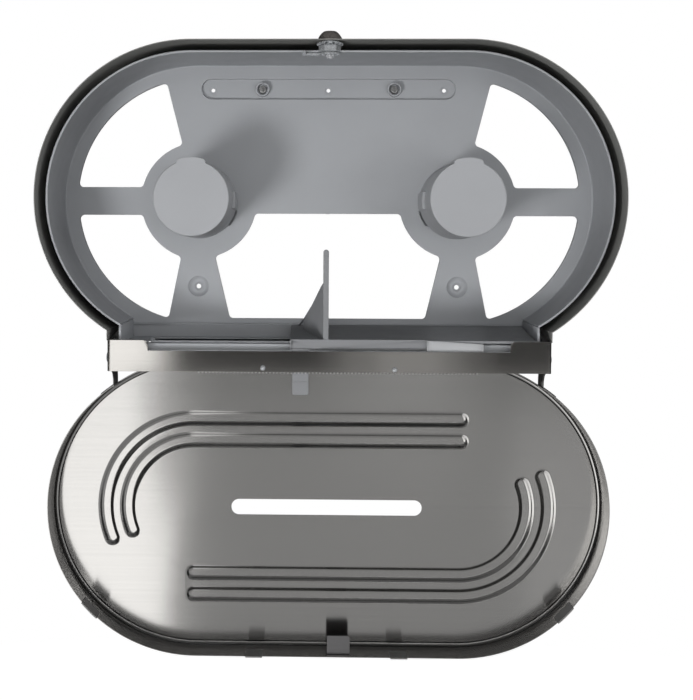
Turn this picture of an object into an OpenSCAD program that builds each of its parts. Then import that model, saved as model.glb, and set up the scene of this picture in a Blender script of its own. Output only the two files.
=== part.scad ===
// Twin jumbo toilet roll dispenser, stored with its cover hanging open.
// Millimetres. X to the right, Y into the wall, Z up.
// The wall is the plane Y = 0 and the origin is the middle of the cabinet on it.

/* [Cabinet] */
// distance between the two roll hubs, which are also the centres of the end arcs
hub_spacing = 247.6; // [246:0.2:250]
// outside radius of the cabinet band
band_r = 141.2; // [141.2:0.1:142]
// depth of the cabinet band from the wall
band_depth = 100; // [100:0.5:100]
// thickness of the steel sheets
sheet = 0.8; // [0.6:0.1:0.8]

/* [Back panel] */
// radius of the outer arc of the four quarter windows
window_r = 118; // [112:0.5:119]
// radius of the ring of panel round each hub
ring_r = 56.5; // [52:0.5:58]
// half height of the side spokes
spoke_half = 13.4; // [10:0.2:16]
// corner rounding of the windows
window_round = 4; // [2:0.5:5]

/* [Roll hubs] */
// radius of the hub at its front
hub_front_r = 34.1; // [32:0.1:35]
// radius of the hub at the panel
hub_base_r = 35.9; // [35:0.1:36]
// height of the retaining lip at the top of the hub
lip_h = 2.8; // [2.4:0.1:3.4]

/* [Tear bar] */
// spacing of the blade teeth
tooth_pitch = 3.2; // [2.4:0.2:5]
// height of the blade teeth
tooth_h = 2.2; // [1.5:0.1:3]

/* [Cover] */
// depth of the cover pan
cover_depth = 36.4; // [34:0.1:37]
// length of the sight slot
sight_len = 183; // [150:1:190]
// height of the sight slot
sight_h = 15; // [12:0.5:18]
// height of the pressed ribs, which stand out of the outer face
rib_h = 2.2; // [1.5:0.1:3]
// width of the pressed ribs
rib_w = 14; // [12:0.5:15]

/* [Hidden] */
$fn = 96;
e = 0.01;
hc = hub_spacing / 2;
band_in = band_r - sheet;
// hinge axis of the cover, parallel to X
hy = -78;
hz = -145;
// open cover: middle height, outer face and rim edge
cz = 2 * hz;
cf = -19;
ce = cf - cover_depth;
cr = 139.3;
// tray
tray_in = 130.8;
tray_out = 133;
panel_f = -6;
panel_b = -3.5;
trough_x = 190.2;
// shutter ramp
slot_z = cz - 4.3;

// ---------- helpers ----------
// flat shape in X and Z, from y0 at the back to y1 at the front
module yx(y0, y1) {
  translate([0, y0, 0]) rotate([90, 0, 0]) linear_extrude(y0 - y1) children();
}
// flat shape in Y and Z, from x0 to x1
module xx(x0, x1) {
  translate([x0, 0, 0]) rotate([90, 0, 90]) linear_extrude(x1 - x0) children();
}
// cylinder along Y, from y0 at the back to y1 at the front
module ycyl(r, y0, y1, x = 0, z = 0) {
  translate([x, y0, z]) rotate([90, 0, 0]) cylinder(r = r, h = y0 - y1);
}
module stad(r) {
  translate([-hc, 0]) circle(r);
  translate([hc, 0]) circle(r);
  translate([-hc, -r]) square([2 * hc, 2 * r]);
}
module both() {
  children();
  mirror([1, 0, 0]) children();
}
module box3(a, b) {
  translate(a) cube([b[0] - a[0], b[1] - a[1], b[2] - a[2]]);
}
// circular sector, from angle a0 to a1, less than 180 degrees wide
module sector(r, a0, a1) {
  polygon([[0, 0],
           [2 * r * cos(a0), 2 * r * sin(a0)],
           [2.4 * r * cos((a0 + a1) / 2), 2.4 * r * sin((a0 + a1) / 2)],
           [2 * r * cos(a1), 2 * r * sin(a1)]]);
}
module arc_plate(r0, r1, a0, a1) {
  intersection() {
    difference() { circle(r1); circle(r0); }
    sector(r1, a0, a1);
  }
}

// ---------- cabinet band ----------
module cabinet_band() color([0.75, 0.75, 0.74]) difference() {
  union() {
    difference() {
      yx(0, -band_depth) stad(band_r);
      // hollow, leaving a hidden flange against the wall that is deeper behind the screw row
      yx(-sheet, -band_depth - 1) stad(band_in);
      yx(1, -2) difference() {
        stad(124);
        translate([-135, 92]) square([270, 60]);
      }
      // open bottom, with short lands left for the lugs
      box3([-199.15, -band_depth - 1, -200], [199.15, 1, 0]);
      box3([-202, -8, -200], [202, 1, 0]);
    }
    // lugs that carry the tear bar
    both() xx(199.15, 199.95) polygon([[-66, -136], [-62, -140], [-8, -140], [-8, -119], [-98.5, -119], [-98.5, -128], [-90, -129]]);
  }
  for (x = [-111, 0, 111]) ycyl(2.5, 1, -2, x, 106.7);
  for (x = [-63.2, 63.2]) ycyl(2.05, 1, -2, x, 107.4);
  for (s = [-1, 1]) for (q = [[-50, -131], [-20, -130]])
    translate([s * 199.5, q[0], q[1]]) rotate([0, 90, 0]) cylinder(r = 1.5, h = 3, center = true);
  // hole for the lock
  translate([0, -88, band_in - 2]) cylinder(r = 8.05, h = 6);
}

// ---------- back panel of the tray ----------
module window_up() {
  offset(r = window_round, $fn = 24) offset(delta = -window_round)
  difference() {
    intersection() {
      translate([hc, 0]) circle(window_r);
      polygon([[129.9, spoke_half], [300, spoke_half], [300, 200], [177.4, 200]]);
    }
    translate([hc, 0]) circle(ring_r);
  }
}
module window_low() {
  offset(r = window_round, $fn = 24) offset(delta = -window_round)
  difference() {
    intersection() {
      translate([hc, 0]) circle(window_r - 0.7);
      polygon([[133.5, -spoke_half], [300, -spoke_half], [300, -150], [161.3, -150]]);
    }
    translate([hc, 0]) circle(ring_r);
  }
}
module window_mid() {
  offset(r = window_round, $fn = 24) offset(delta = -window_round)
  difference() {
    polygon([[-118, -11.8], [118, -11.8], [109.5, -50], [94.4, -113], [-94.4, -113], [-109.5, -50]]);
    translate([-hc, 0]) circle(55);
    translate([hc, 0]) circle(55);
  }
}
module panel_outline(r, zb, xh) {
  difference() {
    stad(r);
    translate([-xh, -200]) square([2 * xh, 200 - 100]);
  }
  translate([-xh, zb]) square([2 * xh, -zb - 99]);
}
module slot2(hx, r) {
  translate([-hx, 0]) circle(r);
  translate([hx, 0]) circle(r);
  translate([-hx, -r]) square([2 * hx, 2 * r]);
}
// everything that is cut out of the front sheet of the panel
module hub_bore() {
  difference() {
    circle(34.4);
  }
  for (a = [0, 180]) rotate([0, 0, a]) arc_plate(30, 37.4, -40, -14);
}
module hub_bores() {
  translate([-hc, 0]) hub_bore();
  mirror([1, 0]) translate([-hc, 0]) hub_bore();
}
module panel_part(x0, x1, wins, z0 = -200, z1 = 200) color([0.62, 0.63, 0.65]) difference() {
  union() {
    yx(panel_b, panel_f) intersection() {
      difference() {
        panel_outline(tray_out, -133.5, trough_x);
        if (wins == 0) window_mid();
        if (wins == 1) { window_mid(); window_up(); window_low(); }
        if (wins == -1) { window_mid(); mirror([1, 0]) { window_up(); window_low(); } }
        hub_bores();
        translate([0, 107.65]) slot2(112.25, 9.65);
        for (x = [-124.8, 124.8]) translate([x, -82.2]) circle(9.75);
      }
      translate([x0, z0]) square([x1 - x0, z1 - z0]);
    }
    // returned edges behind the sheet
    yx(-sheet - 0.02, panel_b - e) intersection() {
      union() {
        difference() {
          union() {
            difference() { stad(tray_out); stad(tray_out - 2); }
          }
          translate([-trough_x, -200]) square([2 * trough_x, 200]);
        }
        if (wins != 0) mirror([wins < 0 ? 1 : 0, 0]) {
          difference() { offset(delta = 2) window_up(); window_up(); }
          difference() { offset(delta = 2) window_low(); window_low(); }
        }
        difference() { offset(delta = 2) window_mid(); window_mid(); }
        translate([0, 107.65]) slot2(112.25, 11.65);
        for (x = [-124.8, 124.8]) translate([x, -82.2]) circle(11.75);
        difference() {
          translate([-trough_x, -133.5]) square([2 * trough_x, 14]);
          translate([-trough_x + 2, -131.5]) square([2 * trough_x - 4, 10]);
        }
      }
      translate([x0, z0]) square([x1 - x0, z1 - z0]);
    }
    // thin lip that closes the bottom of the gap to the band
    yx(-1.3, -3.3) intersection() {
      difference() {
        stad(band_in - 0.1);
        stad(tray_out - 1);
        translate([-202, -200]) square([404, 200]);
      }
      translate([x0, z0]) square([x1 - x0, z1 - z0]);
    }
    if (wins == 0 && z1 > 0) {
      // rear pad that stands on the wall at the middle
      ycyl(12, 0, panel_b - e, 0, 0);
      // collars round the two screws
      for (x = [-63.2, 63.2]) ycyl(6.7, -2.4, -7.6, x, 107.4);
    }
    if (wins != 0) {
      // rear pads that stand on the wall behind the lower screw dimples
      ycyl(11.75, 0, -2, wins * 124.8, -82.2);
    }
  }
  // screw recess, sunk to a thin floor
  yx(-2.5, panel_f - 0.5) intersection() {
    difference() {
      translate([0, 107.65]) slot2(112.25, 9.65);
      for (x = [-63.2, 63.2]) translate([x, 107.4]) circle(6.7);
    }
    translate([x0 - 1, -200]) square([x1 - x0 + 2, 400]);
  }
  for (x = [-111, 0, 111]) {
    ycyl(2.2, 1, -8, x, 106.7);
    ycyl(3.6, -1.9, -8, x, 106.7);
  }
  for (x = [-63.2, 63.2]) {
    ycyl(2.15, 1, -9, x, 107.4);
    ycyl(5.2, -2.5, -9, x, 107.4);
  }
  for (x = [-124.8, 124.8]) {
    ycyl(2.2, 1, -9, x, -82.2);
    translate([x, 0, -82.2]) rotate([90, 0, 0]) rotate_extrude()
      polygon([[0, 1.6], [3.4, 1.6], [4.4, 2.6], [6.6, 2.6], [9.75, 6.2], [9.75, 7], [0, 7]]);
  }
  // clearance behind the sheet for the bayonet lugs of the hubs
  for (x = [-hc, hc]) ycyl(39, 1, panel_b, x, 0);
}
module panel_left() { panel_part(-350, -71.5, -1); }
module panel_middle() { panel_part(-71.5, 71.5, 0, -60, 200); }
module panel_sill() { panel_part(-71.5, 71.5, 0, -200, -60); }
module panel_right() { panel_part(71.5, 350, 1); }

// ---------- wall of the tray ----------
module tray_wall() color([0.6, 0.61, 0.63]) difference() {
  yx(panel_f, -88) difference() {
    stad(tray_out);
    stad(tray_in);
    translate([-187.9, -200]) square([375.8, 200]);
  }
  // notch for the barrel of the lock
  box3([-13, -89, 125], [13, -72, 140]);
}

// ---------- paper trough with its two outlets ----------
module outlet_trough() color([0.58, 0.59, 0.61]) difference() {
  union() {
    box3([-trough_x, -88, -133.5], [trough_x, panel_f, -131]);
    box3([-trough_x, -90, -137], [trough_x, -88, -131]);
    both() box3([187.9, -88, -133.5], [trough_x, panel_f, -110]);
    // rib that keeps the shutter down
    box3([-188, -9.3, -118.9], [188, panel_f, -117.9]);
    // guide lip under the rear edge of each outlet
    both() box3([28, -30, -140], [168, -28, -133.4]);
  }
  yx(panel_f + 1, -88) stad(tray_out);
  both() box3([28, -78, -140], [168, -30, -130]);
}

// ---------- tear bar, blade and rivets ----------
module tear_bar() color([0.78, 0.77, 0.75]) difference() {
  union() {
    yx(-99.1, -100) {
      translate([-199.1, -155.8]) square([398.2, 19]);
      for (s = [0, 1]) mirror([s, 0]) {
        translate([162, -137]) square([37.1, 5.6]);
        translate([166, -132]) square([33.1, 4.6]);
        translate([166, -131.4]) circle(4);
      }
    }
    both() xx(198.2, 199.1)
      polygon([[-99.5, -127.4], [-8, -121], [-8, -140], [-60, -142], [-66, -152], [-72, -155.8], [-99.5, -155.8]]);
  }
  for (s = [-1, 1]) {
    translate([s * 198.6, hy, hz]) rotate([0, 90, 0]) cylinder(r = 2.55, h = 4, center = true);
    for (q = [[-50, -131], [-20, -130]])
      translate([s * 198.6, q[0], q[1]]) rotate([0, 90, 0]) cylinder(r = 1.5, h = 4, center = true);
  }
  ycyl(1.5, -98, -102, -58.7, -152);
  ycyl(1.5, -98, -102, 59.3, -152.9);
}
blade_x0 = -118;
blade_n = floor(253 / tooth_pitch);
module tear_blade() color([0.7, 0.7, 0.69]) difference() {
  yx(-98.45, -99.08) polygon(concat(
    [[blade_x0, -146]],
    [for (i = [0:blade_n - 1]) for (k = [0, 1])
      [blade_x0 + tooth_pitch * (i + k * 0.5), k == 0 ? -155 : -155 - tooth_h]],
    [[blade_x0 + tooth_pitch * blade_n, -155], [blade_x0 + tooth_pitch * blade_n, -146]]));
  ycyl(1.5, -98, -102, -58.7, -152);
  ycyl(1.5, -98, -102, 59.3, -152.9);
}
module dome_rivet() {
  rotate([90, 0, 0]) {
    cylinder(r = 1.48, h = 1.6);
    translate([0, 0, 1.56]) rotate_extrude() polygon([[0, 0], [2.3, 0], [2.1, 0.6], [1.4, 1.1], [0.6, 1.3], [0, 1.3]]);
  }
}
module blade_rivets() color([0.85, 0.85, 0.85]) {
  translate([-58.7, -98.46, -152]) dome_rivet();
  translate([59.3, -98.46, -152.9]) dome_rivet();
}
module lug_rivets() color([0.8, 0.8, 0.8]) both() for (q = [[-50, -131], [-20, -130]])
  translate([0, q[0], q[1]]) rotate([0, 90, 0]) {
    translate([0, 0, 197.2]) cylinder(r = 3, h = 0.98);
    translate([0, 0, 197.6]) cylinder(r = 1.48, h = 3);
    translate([0, 0, 199.97]) cylinder(r = 2.6, h = 0.9);
  }

// ---------- hinge of the cover ----------
module hinge_pin() {
  translate([0, hy, hz]) rotate([0, 90, 0]) {
    translate([0, 0, 196.8]) cylinder(r = 4.2, h = 1.35);
    translate([0, 0, 197]) cylinder(r = 2.5, h = 5);
    translate([0, 0, 201.4]) cylinder(r = 4.5, h = 1.4);
  }
}
module hinge_pin_left() color([0.8, 0.8, 0.8]) mirror([1, 0, 0]) hinge_pin();
module hinge_pin_right() color([0.8, 0.8, 0.8]) hinge_pin();
module hinge_washers() color([0.9, 0.9, 0.88]) both()
  translate([199.15, hy, hz]) rotate([0, 90, 0]) difference() {
    cylinder(r = 6, h = 0.88);
    translate([0, 0, -1]) cylinder(r = 2.55, h = 3);
  }
module hinge_ear() {
  difference() {
    union() {
      xx(200.1, 201.3) {
        polygon([[-78, -138], [-60, -141.5], [-40, -150], [-28, -161], [-26, -167],
                 [-26, -176], [-50, -176], [-51, -168], [-55, -162.5], [-63, -158.5], [-74, -156], [-80, -151.5]]);
        translate([hy, hz]) circle(7);
      }
      // foot on the outside of the rim
      yx(-26, -50) intersection() {
        translate([0, cz]) difference() { stad(cr + 0.85); stad(cr + 0.05); }
        translate([200.1, -190]) square([13, 60]);
      }
    }
    yx(-10, -70) translate([0, cz]) stad(cr + 0.05);
    translate([200, hy, hz]) rotate([0, 90, 0]) cylinder(r = 2.55, h = 6, center = true);
  }
}
module hinge_ear_right() color([0.72, 0.72, 0.71]) hinge_ear();
module hinge_ear_left() color([0.72, 0.72, 0.71]) mirror([1, 0, 0]) hinge_ear();

// ---------- cover, hanging open ----------
rib_cx = 127;
rib_end = 128.5;
rib_sweep = 111.5;
module rib_solid(r, y0, w0, y1, w1, c) {
  // one rib pressed outwards, in the X-Z plane about the rib centre; r is the bend radius,
  // w0 and w1 the half widths of its section at y0 and y1, c how much it is shortened at both ends
  translate([-rib_cx, 0, 0]) {
    rotate([90, 0, 0]) rotate([0, 0, 90]) rotate_extrude(angle = rib_sweep - c * 57.3 / r)
      polygon([[r - w0, -y0], [r - w1, -y1], [r + w1, -y1], [r + w0, -y0]]);
    xx(0, rib_cx + rib_end - c) polygon([[y0, r - w0], [y1, r - w1], [y1, r + w1], [y0, r + w0]]);
  }
}
module ribs(y0, w0, y1, w1, c) {
  for (r = [64.7, 85.6]) for (s = [0, 1])
    translate([0, 0, slot_z]) rotate([0, s * 180, 0]) rib_solid(r, y0, w0, y1, w1, c);
}
module sight(g) {
  translate([0, slot_z]) slot2((sight_len - sight_h) / 2, sight_h / 2 + g);
}
module cover_face() color([0.76, 0.76, 0.75]) difference() {
  union() {
    yx(cf, cf - sheet) translate([0, cz]) stad(cr);
    ribs(cf - 0.3, rib_w / 2, cf + rib_h, rib_w / 4, 0);
  }
  ribs(cf - sheet - 0.5, rib_w / 2 - 0.2, cf + rib_h - sheet, rib_w / 4 - 0.4, sheet);
  yx(cf + 1, cf - 5) sight(0);
}
module cover_rim() color([0.74, 0.74, 0.73]) difference() {
  yx(cf - sheet, ce) translate([0, cz]) difference() {
    stad(cr);
    stad(cr - sheet);
  }
  box3([-200, -60, cz], [200, -33, cz + 150]);
}
module latch_tab() color([0.6, 0.6, 0.6]) {
  box3([0.8, -48.2, cz - cr + sheet + 0.02], [22.3, -47, cz - 124]);
  intersection() {
    yx(-47, -48.2) {
      translate([0.8, cz - 126]) square([18, 5.2]);
      translate([18.8, cz - 124.3]) circle(3.5);
      translate([0.8, cz - 126]) square([21.5, 1.8]);
    }
    box3([0, -50, -440], [30, -40, -400]);
  }
  box3([0.8, -47.2, cz - cr + sheet + 0.02], [22.3, -36, cz - cr + sheet + 0.82]);
}
module corner_clips() color([0.7, 0.7, 0.7]) both()
  yx(-40, ce - 6) translate([hc, cz]) arc_plate(cr - sheet - 0.85, cr - sheet - 0.05, -48.2, -39.8);
module rim_clips() color([0.7, 0.7, 0.7]) both()
  box3([60, ce - 6, cz - cr + sheet + 0.05], [76, -40, cz - cr + sheet + 0.85]);

// ---------- roll hubs ----------
module spindle() {
  difference() {
    union() {
      rotate([90, 0, 0]) rotate_extrude() polygon([
        [31.8, 1.2], [34.3, 1.2], [34.3, 6.05], [hub_base_r, 6.05], [hub_front_r, 98], [hub_front_r - 1, 99],
        [0, 99], [0, 96.6], [31.6, 96.6], [32.6, 10], [31.8, 6.05]]);
      // retaining lip at the top
      yx(-95.4, -99) intersection() {
        circle(hub_front_r + lip_h);
        translate([-13.2, 10]) square([26.4, 40]);
      }
      // side pads and bayonet lugs
      for (a = [0, 180]) rotate([0, -a, 0]) {
        yx(-6.05, -52) arc_plate(33, 37.2, -13, 13);
        yx(-1.2, -3.4) arc_plate(32.5, 37, -11, 11);
      }
    }
  }
}
module spindle_left() color([0.66, 0.66, 0.68]) translate([-hc, 0, 0]) spindle();
module spindle_right() color([0.66, 0.66, 0.68]) translate([hc, 0, 0]) spindle();

// ---------- screws ----------
module boss_screws() color([0.8, 0.8, 0.78]) for (x = [-63.2, 63.2]) translate([x, -0.05, 107.4])
  rotate([90, 0, 0]) difference() {
    union() {
      cylinder(r = 2.0, h = 2.6);
      translate([0, 0, 2.48]) rotate_extrude() polygon([[0, 0], [4, 0], [4, 1.2], [3.2, 2.2], [0, 2.6]]);
    }
    translate([-2.4, -0.5, 3.6]) cube([4.8, 1, 4]);
    translate([-0.5, -2.4, 3.6]) cube([1, 4.8, 4]);
  }

// ---------- lock ----------
module lock_housing() color([0.7, 0.71, 0.72]) translate([0, -88, 0]) difference() {
  union() {
    translate([0, 0, band_r + 0.02]) rotate_extrude() polygon([
      [0, 0], [12, 0], [12, 0.9], [11, 1.2], [10, 3.2], [8.4, 5.4], [6.9, 7.2], [5.4, 8.1], [0, 8.1]]);
    translate([0, 0, 130.6]) cylinder(r = 8, h = band_r - 130.5);
  }
  translate([0, 0, 128]) cylinder(r = 5.05, h = 25);
}
module lock_retainer() color([0.8, 0.82, 0.85]) translate([0, -88, 0]) difference() {
  union() {
    translate([0, 0, 138.6]) cylinder(r = 11.9, h = 1.75);
    for (a = [0:30:330]) rotate([0, 0, a]) translate([8.6, -1.6, 136.9]) cube([2.6, 3.2, 1.8]);
  }
  translate([0, 0, 130]) cylinder(r = 8.05, h = 15);
}
module lock_nut() color([0.75, 0.77, 0.79]) translate([0, -88, 131]) difference() {
  cylinder(r = 10.2, h = 5.8, $fn = 6);
  translate([0, 0, -1]) cylinder(r = 8.05, h = 10);
}
module lock_plug() color([0.78, 0.78, 0.76]) translate([0, -88, 0]) difference() {
  translate([0, 0, 130.45]) cylinder(r = 5, h = 18.6);
  translate([-3.2, -0.7, 144]) cube([6.4, 1.4, 8]);
  translate([0, 0, 129]) cylinder(r = 1.52, h = 8);
}
module lock_cam() color([0.72, 0.72, 0.7]) translate([0, -88, 128.4]) difference() {
  union() {
    cylinder(r = 8.6, h = 2);
    translate([-25, -0.4, 0]) cube([25, 6.8, 2]);
    translate([-25, -16, 0]) cube([3.6, 22.4, 2]);
  }
  translate([0, 0, -1]) cylinder(r = 1.52, h = 5);
}
module cam_screw() color([0.9, 0.9, 0.9]) translate([0, -88, 0]) {
  translate([0, 0, 126.9]) cylinder(r = 1.5, h = 8);
  difference() {
    union() {
      translate([0, 0, 127.6]) cylinder(r = 4.4, h = 0.78);
      for (a = [0:45:315]) rotate([0, 0, a]) translate([3, -0.9, 127.2]) cube([2.2, 1.8, 1.1]);
      translate([0, 0, 125.4]) cylinder(r = 3.2, h = 2.3);
    }
    translate([-2.2, -0.4, 124]) cube([4.4, 0.8, 2.4]);
    translate([-0.4, -2.2, 124]) cube([0.8, 4.4, 2.4]);
  }
}

// ---------- sliding shutter ----------
module shutter_sled() color([0.64, 0.65, 0.67]) {
  xx(-34.6, 187)
    polygon([[-8.5, -119], [-87, -127], [-95.9, -127], [-95.9, -129.2], [-87, -129.2], [-8.5, -121.2]]);
  box3([-34.6, -86.5, -130.95], [187, -84, -128.5]);
  box3([-34.6, -11, -130.95], [187, -8.5, -121]);
  // front lip
  box3([-34.6, -97.9, -135.7], [88, -95.9, -126.2]);
}
module shutter_leaf() color([0.7, 0.71, 0.73]) intersection() {
  translate([88.1, 0, -126.6]) rotate([0, 3.4, 0]) box3([-2, -97.9, -10], [51, -95.95, 0]);
  box3([88.1, -98, -145], [145, -95, -120]);
}
module shutter_fin() color([0.66, 0.67, 0.69]) difference() {
  union() {
    box3([-5, -97, -131], [0, -93.6, -48]);
    ycyl(2.5, -93.6, -97, -2.5, -48);
    translate([-3, -94.6, 0]) rotate([0, 0, 106.4]) rotate([90, 0, 0]) translate([0, 0, -1.1]) linear_extrude(2.2)
      polygon([[0, -74], [10, -78.5], [39, -97], [66, -111], [88, -120.5], [88, -135], [0, -135]]);
  }
  xx(-60, 30) polygon([[0, -118.1], [-8.5, -118.96], [-87, -126.96], [-100, -126.96], [-100, -140], [0, -140]]);
}
module shutter_tab() color([0.66, 0.67, 0.69]) difference() {
  box3([-32.4, -97.9, -176.5], [-17.8, -95.9, -135.72]);
  box3([-30, -98.2, -166.6], [-20.2, -97.4, -165.4]);
}

cabinet_band();
panel_left();
panel_middle();
panel_sill();
panel_right();
tray_wall();
outlet_trough();
tear_bar();
tear_blade();
blade_rivets();
lug_rivets();
hinge_pin_left();
hinge_pin_right();
hinge_washers();
hinge_ear_left();
hinge_ear_right();
cover_face();
cover_rim();
latch_tab();
corner_clips();
rim_clips();
spindle_left();
spindle_right();
boss_screws();
lock_housing();
lock_retainer();
lock_nut();
lock_plug();
lock_cam();
cam_screw();
shutter_sled();
shutter_leaf();
shutter_fin();
shutter_tab();
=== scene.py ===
import bpy
import bmesh
import math
import numpy as np
from mathutils import Vector, Matrix
from mathutils.geometry import delaunay_2d_cdt


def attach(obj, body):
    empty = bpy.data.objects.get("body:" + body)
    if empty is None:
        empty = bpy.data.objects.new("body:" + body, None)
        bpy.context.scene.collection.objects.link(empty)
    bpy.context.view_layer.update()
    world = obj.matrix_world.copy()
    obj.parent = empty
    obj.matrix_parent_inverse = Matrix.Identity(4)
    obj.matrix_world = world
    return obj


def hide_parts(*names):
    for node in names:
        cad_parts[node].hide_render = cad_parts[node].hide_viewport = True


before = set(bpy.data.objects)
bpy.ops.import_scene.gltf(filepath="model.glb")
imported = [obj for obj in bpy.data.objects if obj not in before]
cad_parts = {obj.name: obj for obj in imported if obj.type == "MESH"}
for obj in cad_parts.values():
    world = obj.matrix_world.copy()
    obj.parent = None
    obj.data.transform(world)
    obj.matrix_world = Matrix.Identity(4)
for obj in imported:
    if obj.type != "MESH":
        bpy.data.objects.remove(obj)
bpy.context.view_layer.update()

K = 0.001
HC = 123.8          # half the distance between the hubs
HY, HZ = -78.0, -145.0
CZ = -290.0         # middle of the open cover
SLOT_Z = -294.3
PI = math.pi


def rad(a):
    return a * PI / 180.0


# ------------------------------------------------------------------ mesh tools
class Mesh:
    def __init__(self):
        self.v = []
        self.f = []

    def ring(self, pts):
        n = len(self.v)
        self.v.extend(pts)
        return list(range(n, n + len(pts)))

    def bridge(self, a, b, closed=True):
        n = len(a)
        for i in range(n if closed else n - 1):
            j = (i + 1) % n
            self.f.append((a[i], a[j], b[j], b[i]))

    def tris(self, idx, triangles):
        for t in triangles:
            self.f.append(tuple(idx[k] for k in t))

    def add(self, other):
        n = len(self.v)
        self.v.extend(other.v)
        self.f.extend(tuple(i + n for i in f) for f in other.f)

    def mapped(self, fn):
        m = Mesh()
        m.v = [fn(p) for p in self.v]
        m.f = list(self.f)
        return m


def area(lp):
    s = 0.0
    for i in range(len(lp)):
        x0, y0 = lp[i - 1]
        x1, y1 = lp[i]
        s += x0 * y1 - x1 * y0
    return s / 2


def ccw(lp):
    return list(lp) if area(lp) > 0 else list(lp)[::-1]


def cw(lp):
    return list(lp) if area(lp) < 0 else list(lp)[::-1]


def clean(lp, tol=1e-4):
    out = []
    for p in lp:
        if not out or math.hypot(p[0] - out[-1][0], p[1] - out[-1][1]) > tol:
            out.append(p)
    if len(out) > 1 and math.hypot(out[0][0] - out[-1][0], out[0][1] - out[-1][1]) <= tol:
        out.pop()
    return out


def inset(lp, d):
    """every corner moved d to the left of the loop's direction"""
    if abs(d) < 1e-9:
        return list(lp)
    n = len(lp)
    out = []
    for i in range(n):
        x0, y0 = lp[i - 1]
        x1, y1 = lp[i]
        x2, y2 = lp[(i + 1) % n]
        a = (x1 - x0, y1 - y0)
        b = (x2 - x1, y2 - y1)
        la = math.hypot(*a) or 1e-9
        lb = math.hypot(*b) or 1e-9
        m = (-a[1] / la - b[1] / lb, a[0] / la + b[0] / lb)
        q = max(m[0] * m[0] + m[1] * m[1], 0.6)
        out.append((x1 + m[0] * 2 / q * d, y1 + m[1] * 2 / q * d))
    return out


def fill(loops):
    """triangles inside the first loop and outside the others, as indices into all the points in order"""
    pts = []
    edges = []
    for lp in loops:
        n0 = len(pts)
        pts.extend(lp)
        edges.extend((n0 + i, n0 + (i + 1) % len(lp)) for i in range(len(lp)))
    vs, es, fs, ov, oe, of = delaunay_2d_cdt([Vector(p) for p in pts], edges, [], 1, 1e-5)
    back = [o[0] if o else -1 for o in ov]
    P = np.array([[v.x, v.y] for v in vs])
    T = np.array([f for f in fs if len(f) == 3])
    c = P[T].mean(axis=1)
    inside = np.zeros(len(T), bool)
    for lp in loops:
        A = np.array(lp)
        B = np.roll(A, -1, axis=0)
        for (x0, y0), (x1, y1) in zip(A, B):
            if y0 == y1:
                continue
            hit = ((y0 > c[:, 1]) != (y1 > c[:, 1]))
            xi = x0 + (c[:, 1] - y0) * (x1 - x0) / (y1 - y0)
            inside ^= hit & (c[:, 0] < xi)
    res = []
    for t, ok in zip(T, inside):
        if ok:
            k = tuple(back[i] for i in t)
            if -1 not in k:
                res.append(k)
    return res


XZ = lambda u, v, w: (u, w, v)
XY = lambda u, v, w: (u, v, w)
YZ = lambda u, v, w: (w, u, v)


def plate(loops, w0, w1, mp=XZ, r=0.3, rb=None, seg=3, caps=(True, True)):
    """flat sheet with holes; w0 is its front level, w1 its back level, r the rounding of its front edges"""
    m = Mesh()
    s = 1 if w1 > w0 else -1
    rb = r if rb is None else rb
    lps = [ccw(clean(loops[0]))] + [cw(clean(l)) for l in loops[1:]]
    steps = []
    if r > 0:
        for k in range(seg + 1):
            t = k / seg * PI / 2
            steps.append((r * (1 - math.sin(t)), w0 + s * r * (1 - math.cos(t))))
    else:
        steps.append((0, w0))
    if rb > 0:
        for k in range(seg + 1):
            t = k / seg * PI / 2
            steps.append((rb * (1 - math.cos(t)), w1 - s * rb * (1 - math.sin(t))))
    else:
        steps.append((0, w1))
    allr = []
    for d, w in steps:
        allr.append([m.ring([mp(u, v, w) for u, v in inset(lp, d)]) for lp in lps])
    for a, b in zip(allr, allr[1:]):
        for ra, rb2 in zip(a, b):
            m.bridge(ra, rb2)
    for which, k, on in ((0, 0, caps[0]), (1, -1, caps[1])):
        if on:
            loops2 = [inset(lp, steps[k][0]) for lp in lps]
            idx = [i for rr in allr[k] for i in rr]
            m.tris(idx, fill(loops2))
    return m


def tube(rings, caps=True, closed=False):
    """skin over rings of the same number of points"""
    m = Mesh()
    rs = [m.ring(r) for r in rings]
    for a, b in zip(rs, rs[1:]):
        m.bridge(a, b)
    if closed:
        m.bridge(rs[-1], rs[0])
    elif caps:
        m.f.append(tuple(rs[0]))
        m.f.append(tuple(rs[-1][::-1]))
    return m


def lathe(profile, origin=(0, 0, 0), axis="z", n=96, a0=0.0, a1=360.0):
    """profile of (radius, height) turned about an axis"""
    m = Mesh()
    full = abs(a1 - a0) >= 359.99
    cnt = n if full else n + 1
    rings = []
    ox, oy, oz = origin
    for r, h in profile:
        pts = []
        for i in range(cnt):
            t = rad(a0 + (a1 - a0) * i / n)
            c, s = r * math.cos(t), r * math.sin(t)
            if axis == "z":
                p = (ox + c, oy + s, oz + h)
            elif axis == "y":
                p = (ox + c, oy + h, oz + s)
            else:
                p = (ox + h, oy + c, oz + s)
            pts.append(p)
        rings.append(m.ring(pts))
    for a, b in zip(rings, rings[1:]):
        m.bridge(a, b, closed=full)
    return m


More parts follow.
